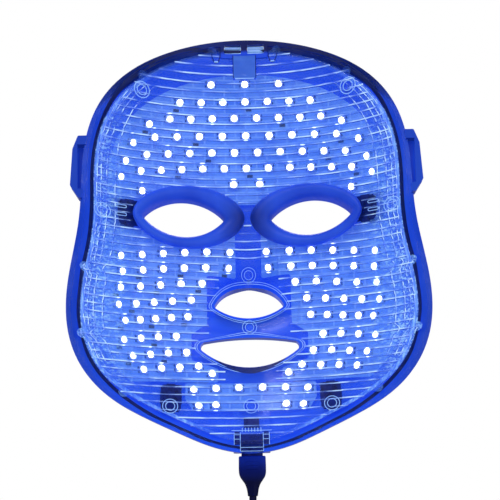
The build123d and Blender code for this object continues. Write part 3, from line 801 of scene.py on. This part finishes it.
def liner_edge():
    """The liner's outline as (angle from straight up, radius about the pole)."""
    for angle in around(EDGE_POINTS):
        r = EDGE_REACH
        while depth_on(LINER_TREE, r * sin(angle), POLE_Z + r * cos(angle)) is None:
            r -= 0.25 * MM
        yield angle, r


SNAP_TABS = [9, 30, 97, 118, 139]  # degrees from straight up, as in the CAD model
TAB_REACH = 5.0  # degrees to either side of a tab


def calm(edge):
    """The outline as it would run without its snap tabs."""
    angles, radii = (np.array(v) for v in zip(*edge))
    turn = np.degrees(angles)
    turn = np.minimum(turn, 360 - turn)
    plain = np.all([np.abs(turn - tab) > TAB_REACH for tab in SNAP_TABS], axis=0)
    radii = np.interp(angles, angles[plain], radii[plain], period=2 * pi)
    for _ in range(2):
        radii = (np.roll(radii, 1) + radii + np.roll(radii, -1)) / 3
    return list(zip(angles, radii))


EDGE = calm(list(liner_edge()))
FRONT_TREE = tree_of("inner_liner", "front_shell")
# The cosines, up or down, between which a strip takes on its crown's or chin's shift
SHIFT_START, SHIFT_SPAN = 0.68, 0.2
# Beside the crown's middle, where a strip sinks: half width, lowest z and depth
CROWN_DIP = (18 * MM, 0.09, 1.5 * MM)


def edge_strip(name, tree, section, material, crown_shift=0.0, chin_shift=0.0):
    """A closed strip along the liner's edge, from (inset, height) pairs across it in millimetres."""
    half_width, dip_bottom, dip = CROWN_DIP
    rings = []
    for inset, height in section:
        ring, last = [], 0.0
        for angle, radius in EDGE:
            upright = cos(angle)
            shift = crown_shift if upright > 0 else chin_shift
            radius += shift * max(0.0, min(1.0, (abs(upright) - SHIFT_START) / SHIFT_SPAN))
            radius -= inset * MM
            x, z = radius * sin(angle), POLE_Z + radius * upright
            y = depth_on(tree, x, z)
            last = last if y is None else y
            sunk = dip if abs(x) < half_width and z > dip_bottom else 0.0
            ring.append((x, last - height * MM + sunk, z))
        rings.append(ring)
    verts, faces, _ = stitched(rings)
    piece = new_piece(name, verts, faces, [material])


cross_ribs()
edge_ribs()
edge_strip(
    "liner_edge_bead", LINER_TREE,
    [(0.3, -0.1), (0.4, 0.2), (0.9, 0.25), (1.9, 0.2), (2.3, -0.05)],
    EDGE_BAND,
)
# Painted shade: a dark strip in the gap between the liner's edge and the shell, wider at the crown and
# chin
edge_strip(
    "edge_gap_shade", tree_of("front_shell"),
    [(-0.3, 0.1), (-1.0, 0.16), (-1.9, 0.16), (-2.2, 0.05)],
    FILM, 2.2 * MM, 2.6 * MM,
)


# ---- posts
# The posts' places in the x-z plane, as in the CAD model
POSTS = [(81, 10.5), (58.5, 80.5), (45, -99)]
MIDDLE_POSTS = [(0, -20.0), (0, -52.5), (0, -98.5)]
POST_CIRCLES = (4.1 * MM, 2.5 * MM)
POST_POINTS = 28
POST_BEAD, MIDDLE_POST_BEAD = 0.3, 0.16  # millimetres


def bead(points, radius, verts, faces, sides=8):
    """A closed round bead through points, added to a mesh's lists."""
    start, count = len(verts), len(points)
    for k, point in enumerate(points):
        along = (points[(k + 1) % count] - points[k - 1]).normalized()
        first = along.cross(Vector((0, 1, 0))).normalized()
        second = along.cross(first)
        for angle in around(sides):
            verts.append(point + radius * (cos(angle) * first + sin(angle) * second))
    for k in range(count):
        here, there = start + k * sides, start + (k + 1) % count * sides
        for j in range(sides):
            beside = (j + 1) % sides
            faces.append((here + j, here + beside, there + beside, there + j))


def post_rings():
    """The two circles of light at each tube's root in the liner."""
    verts, faces = [], []
    places = [(side * x * MM, z * MM) for x, z in POSTS for side in (-1, 1)]
    places += [(x * MM, z * MM) for x, z in MIDDLE_POSTS]
    for x, z in places:
        for radius in POST_CIRCLES:
            ring = []
            for angle in around(POST_POINTS):
                px, pz = x + radius * cos(angle), z + radius * sin(angle)
                y = depth_on(LINER_TREE, px, pz)
                if y is None:
                    y = depth_on(LINER_TREE, x, z)
                ring.append(Vector((px, y - 0.05 * MM, pz)))
            bead(ring, (POST_BEAD if x else MIDDLE_POST_BEAD) * MM, verts, faces)
    piece = new_piece("post_rings", verts, faces, [EDGE_LIGHT])


post_rings()


# ---- LEDs
LED_NODES = ("forehead_leds", "cheek_leds_left", "cheek_leds_right", "chin_leds")
LED_SIDES = 32
CASE, CAP, TERMINAL = range(3)  # material indices
CASE_ROWS = 5  # rows of an LED's faces, from its back, that belong to its case


def square_ring(half, height, power=12):
    """A square with rounded corners."""
    ring = []
    for k in range(LED_SIDES):
        angle = 2 * pi * (k + 0.5) / LED_SIDES
        r = half / (abs(cos(angle)) ** power + abs(sin(angle)) ** power) ** (1 / power)
        ring.append((r * cos(angle), r * sin(angle), height))
    return ring


def circle_ring(radius, height):
    angles = [2 * pi * (k + 0.5) / LED_SIDES for k in range(LED_SIDES)]
    return [(radius * cos(angle), radius * sin(angle), height) for angle in angles]


BOX_FACES = ((0, 1, 3, 2), (4, 6, 7, 5), (0, 4, 5, 1), (2, 3, 7, 6), (1, 5, 7, 3), (0, 2, 6, 4))


def led_shape():
    """One package in millimetres, standing on z = 0: (points, faces, material indices)."""
    rings = [
        square_ring(2.5, 0.0), square_ring(2.5, 1.3), square_ring(2.36, 1.55), square_ring(2.3, 1.6),
        circle_ring(2.12, 1.6), circle_ring(1.92, 1.3), circle_ring(1.85, 1.3),
        circle_ring(1.6, 1.5), circle_ring(1.1, 1.68), circle_ring(0.5, 1.76), circle_ring(0.1, 1.78),
    ]
    verts, faces, rows = stitched(rings, closed_ends=True)
    indices = [CASE if row < CASE_ROWS else CAP for row in rows]
    for side in (-1, 1):
        for low, high in ((-1.9, -0.7), (0.7, 1.9)):
            start = len(verts)
            near, far = sorted((side * 2.45, side * 3.1))
            verts += [(x, y, z) for x in (near, far) for y in (low, high) for z in (0.0, 0.45)]
            for face in BOX_FACES:
                faces.append(tuple(start + i for i in face))
                indices.append(TERMINAL)
    return verts, faces, indices


def islands(node):
    """The separate solids of a CAD node, each as an array of its corners."""
    work = bmesh.new()
    work.from_mesh(NODES[node].data)
    bmesh.ops.remove_doubles(work, verts=work.verts, dist=MERGE_DISTANCE)
    left = set(work.verts)
    for first in work.verts:
        if first not in left:
            continue
        left.remove(first)
        found, stack = [], [first]
        while stack:
            vert = stack.pop()
            found.append(vert.co.copy())
            for edge in vert.link_edges:
                other = edge.other_vert(vert)
                if other in left:
                    left.remove(other)
                    stack.append(other)
        yield np.array(found)
    work.free()


def package_frame(corners):
    """Origin and axes of a package from its corners: its back, and the way it looks."""
    middle = (corners.max(0) + corners.min(0)) / 2
    _, axes = np.linalg.eigh(np.cov((corners - middle).T))
    out = Vector(axes[:, 0])
    if out.y > 0:
        out = -out
    across = Vector((-out.y, out.x, 0)).normalized()
    back = min((corners - middle) @ np.array(out))
    return Vector(middle) + out * back, across, out.cross(across), out


def led_piece(node):
    """The LEDs of one board, each with its case, its cap and four terminals."""
    shape, shape_faces, shape_indices = led_shape()
    verts, faces, indices = [], [], []
    for corners in islands(node):
        origin, across, upward, out = package_frame(corners)
        start = len(verts)
        verts += [origin + MM * (x * across + y * upward + z * out) for x, y, z in shape]
        faces += [tuple(start + i for i in face) for face in shape_faces]
        indices += shape_indices
    piece = new_piece(f"{node}_detail", verts, faces, [PACKAGE, GLOW, PAD], indices)
    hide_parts(node)


for group in LED_NODES:
    led_piece(group)


# ---- glints over the LEDs
GLINT_HALF = (1.95 * MM, 0.50 * MM)
GLINT_REACH = (2.2 * MM, 4.3 * MM)  # how far from a rib an LED throws an image in it
GLINT_POINTS = 16
GLINT_LIFT, GLINT_EDGE_LIFT = 0.62 * MM, 0.50 * MM


def rib_glints():
    """Painted reflections: second images of the LEDs, which the ribs above and below them throw."""
    verts, faces = [], []
    for node in LED_NODES:
        for corners in islands(node):
            x, _, z = (corners.max(0) + corners.min(0)) / 2
            nearest = round((z - FIRST_RIB) / RIB_PITCH)
            for rib in (nearest - 1, nearest, nearest + 1):
                height = FIRST_RIB + rib * RIB_PITCH
                gap = abs(height - z)
                y = on_liner(x, height)
                if y is None or not GLINT_REACH[0] < gap < GLINT_REACH[1]:
                    continue
                size = 1.15 - gap / (8 * MM)
                start = len(verts)
                verts.append((x, y - GLINT_LIFT, height))
                for k, angle in enumerate(around(GLINT_POINTS)):
                    px = x + GLINT_HALF[0] * size * cos(angle)
                    pz = height + GLINT_HALF[1] * size * sin(angle)
                    verts.append((px, y - GLINT_EDGE_LIFT, pz))
                    faces.append((start, start + 1 + k, start + 1 + (k + 1) % GLINT_POINTS))
    piece = new_piece("rib_glints", verts, faces, [GLINT])


rib_glints()


# ---- painted shade, painted highlights and dark parts behind the clear plastic
# A LIGHT line takes the edge light: a painted highlight that glows
DARK, LIGHT, PANEL = range(3)  # material indices of a sheet
LINE = 0.35 * MM  # width of a light line


class Sheets:
    """Thin sheets that lie on the wearer's side of the liner and the shell."""

    def __init__(self):
        self.verts, self.faces, self.indices = [], [], []

    def point(self, x, z, lift):
        """A point in front of all that is met close round it."""
        near = ((0, 0), (0.3, 0), (-0.3, 0), (0, 0.3), (0, -0.3))
        met = [depth_on(FRONT_TREE, x + a * MM, z + b * MM) for a, b in near]
        met = [y for y in met if y is not None] or [depth_on(FRONT_TREE, x, z + 1.5 * MM) or 0.03]
        self.verts.append((x, min(met) - lift, z))

    def grid(self, corner, size, lift, index, columns, rows, inside=None):
        """A rectangle from its lower corner, or the part of it where `inside` holds."""
        start, width = len(self.verts), columns + 1
        for r in range(rows + 1):
            for c in range(width):
                self.point(corner[0] + size[0] * c / columns, corner[1] + size[1] * r / rows, lift)
        for r in range(rows):
            for c in range(columns):
                a = start + r * width + c
                middle = [(self.verts[a][k] + self.verts[a + width + 1][k]) / 2 for k in (0, 2)]
                if inside is None or inside(*middle):
                    self.faces.append((a, a + 1, a + width + 1, a + width))
                    self.indices.append(index)

    def band(self, lines, index, lift):
        """A band between two lines of (x, z), which have as many points."""
        start, count = len(self.verts), len(lines[0])
        for x, z in (*lines[0], *lines[1]):
            self.point(x, z, lift)
        for k in range(count - 1):
            self.faces.append((start + k, start + k + 1, start + count + k + 1, start + count + k))
            self.indices.append(index)

    def make(self, name):
        piece = new_piece(name, self.verts, self.faces, [SHADOW, EDGE_LIGHT, WINDOW], self.indices)


SOCKET_PINS = 7


def socket_window():
    """The socket's dark block, its comb of pins, and the guides beside it; the pins and guides are light
    lines of painted highlight.
    """
    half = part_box("socket_shell")[1].x - LINE
    rim_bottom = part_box("front_shell")[0].z + 0.3 * MM
    sheets = Sheets()
    narrow = half - 1.9 * MM
    sheets.grid((-narrow, -111.4 * MM), (2 * narrow, 6.2 * MM), 0.06 * MM, DARK, 12, 10)
    sheets.grid((-half, -122.3 * MM), (2 * half, 7.2 * MM), 0.06 * MM, DARK, 14, 10)
    sheets.grid((-half, rim_bottom), (2 * half, -123.0 * MM - rim_bottom), 0.06 * MM, DARK, 14, 4)
    for k in range(SOCKET_PINS):
        x = -half + 1.0 * MM + k * (2 * half - 2.0 * MM) / (SOCKET_PINS - 1)
        sheets.grid((x - 0.2 * MM, -113.6 * MM), (0.4 * MM, 2.4 * MM), 0.14 * MM, LIGHT, 1, 3)
    for height in (-113.0, -122.8, -125.1):
        reach = half + (5 if height > -114 else 0) * MM
        sheets.grid((-reach, height * MM), (2 * reach, LINE), 0.16 * MM, LIGHT, 24, 1)
    for side in (-1, 1):
        for inner, bottom in ((half, -125.0), (half + 3.4 * MM, -121.0)):
            left = inner if side > 0 else -inner - LINE
            sheets.grid((left, bottom * MM), (LINE, (-114 - bottom) * MM), 0.14 * MM, LIGHT, 1, 10)
        left = half + 0.5 * MM if side > 0 else -half - 3.3 * MM
        sheets.grid((left, -121.0 * MM), (2.8 * MM, 7.6 * MM), 0.07 * MM, DARK, 4, 8)
        for height in (-115.4 * MM, -118.0 * MM):
            sheets.grid((left, height), (2.8 * MM, 0.3 * MM), 0.14 * MM, LIGHT, 4, 1)
    sheets.make("socket_window")


# how much lower the jaws' films seem to end
JAW_SHEET_DROP = 8.5 * MM  # how much lower than the jaws' films their dark sheets reach


def film_windows():
    """Dark sheets over the films of the temples and jaws, reaching lower than the jaws' films, and light
    slot outlines at the temples.
    """
    sheets = Sheets()
    for corners in islands("insulation_patches"):
        low, high = corners.min(0), corners.max(0)
        if high[2] < 0:
            low[2] -= JAW_SHEET_DROP
        middle, half = (low + high) / 2, (high - low) / 2

        def inside(x, z):
            across, up = abs(x - middle[0]) / half[0], abs(z - middle[2]) / half[2]
            return across**4 + up**4 < 0.9 and depth_on(CUSHION_TREE, x, z) is None

        sheets.grid((low[0], low[2]), (2 * half[0], 2 * half[2]), 0.05 * MM, DARK, 30, 30, inside)
    for side in (-1, 1):
        for height in (14.5 * MM, 10.0 * MM):
            capsule(sheets, side * 71.2 * MM, height, 3.0 * MM, 1.0 * MM)
    sheets.make("film_windows")


CAPSULE_LINE = 0.42 * MM
CAPSULE_SIDES = 32


def capsule(sheets, x, z, half_length, radius):
    """A painted highlight round the outline of a small slot."""
    lines = ([], [])
    for angle in around(CAPSULE_SIDES, closed=True):
        end = (half_length - radius) * (1 if cos(angle) > 0 else -1)
        for line, r in zip(lines, (radius, radius - CAPSULE_LINE)):
            line.append((x + end + r * cos(angle), z + r * sin(angle)))
    sheets.band(lines, LIGHT, 0.12 * MM)


OPENING_SIDES = 120
OPENING_LINES = ((1.9 * MM, 0.35 * MM), (3.1 * MM, 0.3 * MM))  # gap from the opening, and width
CRESCENT_HALF = 1.32  # half the crescent's angle, in radians
CRESCENT_ROWS = 6


def opening_edges():
    """Painted highlights in lines round the nose and mouth openings, and painted shade under the mouth.
    """
    sheets = Sheets()
    for name, crescent in (("nose_opening", 0.0), ("mouth_opening", 3.6 * MM)):
        openings = frame["record"]["physics"]["openings"]
        low, high = next(o["box_m"] for o in openings if o["name"] == name)
        x0, z0 = (low[0] + high[0]) / 2, (low[2] + high[2]) / 2
        edge = []
        for angle in around(OPENING_SIDES, closed=True):
            r = 2 * MM
            while depth_on(FRONT_TREE, x0 + r * sin(angle), z0 + r * cos(angle)) is None:
                r += 0.1 * MM
            edge.append((angle, r))

        def ring(grow, part):
            return [(x0 + (r + grow(a)) * sin(a), z0 + (r + grow(a)) * cos(a)) for a, r in part]

        for gap, width in OPENING_LINES:
            lines = ring(lambda a: gap, edge), ring(lambda a: gap + width, edge)
            sheets.band(lines, LIGHT, 0.1 * MM)
        if crescent:
            part = [(a, r) for a, r in edge if abs(a - pi) < CRESCENT_HALF]

            def depth(share):
                def at(a):
                    swell = cos((a - pi) / CRESCENT_HALF * pi / 2) ** 0.6
                    return max(0.1 * MM, share * crescent * swell)
                return at

            rows = [ring(depth(row / CRESCENT_ROWS), part) for row in range(CRESCENT_ROWS + 1)]
            for lines in zip(rows, rows[1:]):
                sheets.band(lines, DARK, 0.13 * MM)
    sheets.make("opening_edges")


RECESS_BOTTOM = 90.6 * MM
TONGUE_X = 16.2 * MM
TONGUE_SIDES = 24
SLOT_BARS = ((103.5, 0.6), (104.6, 0.9), (105.9, 0.9), (107.0, 0.5))  # height and thickness
SLOT_BAR_ENDS = (1.9 * MM, 11.3 * MM)
SLOT_BAR_SECTION = ((0.0, -1), (0.0, 1), (1.2, 1), (1.2, -1))  # depth, share of half the thickness
SLOT_DEPTH = (depth_on(FRONT_TREE, 0.0, 105 * MM) or 0.0) + 1.5 * MM


def crown_recess():
    """The crown's recess and its two snap tongues."""
    sheets = Sheets()
    # Painted shade along the recess's sides and round the tongues, painted highlights along its bottom
    # edge and the tongues' tips
    for x in (-6.7, 6.3):
        sheets.grid((x * MM, RECESS_BOTTOM), (0.4 * MM, 11.6 * MM), 0.6 * MM, DARK, 1, 12)
    sheets.grid((-6.3 * MM, RECESS_BOTTOM), (12.6 * MM, 11.6 * MM), 0.5 * MM, PANEL, 12, 12)
    sheets.grid((-5.5 * MM, 90.3 * MM), (11 * MM, 0.5 * MM), 0.62 * MM, LIGHT, 12, 1)
    for side in (-1, 1):
        middle = side * TONGUE_X
        lines = ([], [])
        for k in range(TONGUE_SIDES + 1):
            angle = pi * k / TONGUE_SIDES
            for line, r in zip(lines, (2.3 * MM, 1.9 * MM)):
                line.append((middle + 1.15 * r * cos(angle), 102.6 * MM - 2.0 * r * sin(angle)))
        sheets.band(lines, DARK, 0.6 * MM)
        sheets.grid((middle - 1.1 * MM, 98.4 * MM), (2.2 * MM, 0.7 * MM), 0.65 * MM, LIGHT, 4, 2)
    sheets.make("crown_details")


def crown_slot_bars():
    """The bars of light in the crown's strap slots."""
    verts, faces = [], []
    for side in (-1, 1):
        for height, thick in SLOT_BARS:
            a = len(verts)
            for x in sorted(side * end for end in SLOT_BAR_ENDS):
                for y, z in SLOT_BAR_SECTION:
                    verts.append((x, SLOT_DEPTH + y * MM, (height + z * thick / 2) * MM))
            faces += [(a + k, a + (k + 1) % 4, a + 4 + (k + 1) % 4, a + 4 + k) for k in range(4)]
            faces += [(a, a + 3, a + 2, a + 1), (a + 4, a + 5, a + 6, a + 7)]
    piece = new_piece("crown_slot_bars", verts, faces, [EDGE_LIGHT], smooth=False)


socket_window()
film_windows()
opening_edges()
crown_recess()
crown_slot_bars()


# ---- floor and light
FLOOR_HALF = 6.0
FLOOR_GAP = 0.002  # under the lead's far plug
FLOOR = plain_finish("floor", (0.80, 0.80, 0.80), (0.84, 0.84, 0.84), (0.7, 0.85), 12, 0.02)
mesh = bpy.data.meshes.new("floor")
corners = [(x * FLOOR_HALF, y * FLOOR_HALF, 0) for x, y in ((-1, -1), (1, -1), (1, 1), (-1, 1))]
mesh.from_pydata(corners, [], [(0, 1, 2, 3)])
mesh.materials.append(FLOOR)
floor = placed("floor", mesh)
floor.location = (0, 0, CAD_BOX[0][2] - FLOOR_GAP)

LIT_PLACE = Vector((0, 0.03, 0))  # the middle of the mask, which the lights face
# Name, place, size and power in watts
LIGHTS = [
    ("key", (-0.45, -1.1, 0.95), 0.6, 8),
    ("fill", (0.9, -0.9, 0.1), 0.9, 3),
    ("back", (0.3, 1.2, 0.9), 0.8, 9),
]
for name, place, size, power in LIGHTS:
    light = bpy.data.lights.new(name, "AREA")
    light.size = size
    light.energy = power
    lamp = placed(name, light)
    lamp.location = place
    lamp.rotation_mode = "QUATERNION"
    lamp.rotation_quaternion = (LIT_PLACE - Vector(place)).to_track_quat("-Z", "Y")

# The world is white to the camera and dimmer as a light
WORLD_LIGHT = 0.30
world = bpy.data.worlds.new("studio")
bpy.context.scene.world = world
world.use_nodes = True
backdrop = world.node_tree.nodes["Background"]
backdrop.inputs["Color"].default_value = (1, 1, 1, 1)
rays = world.node_tree.nodes.new("ShaderNodeLightPath")
softer = world.node_tree.nodes.new("ShaderNodeMapRange")
softer.inputs["To Min"].default_value = WORLD_LIGHT
world.node_tree.links.new(rays.outputs["Is Camera Ray"], softer.inputs["Value"])
world.node_tree.links.new(softer.outputs["Result"], backdrop.inputs["Strength"])
bpy.context.scene.view_settings.view_transform = "Standard"
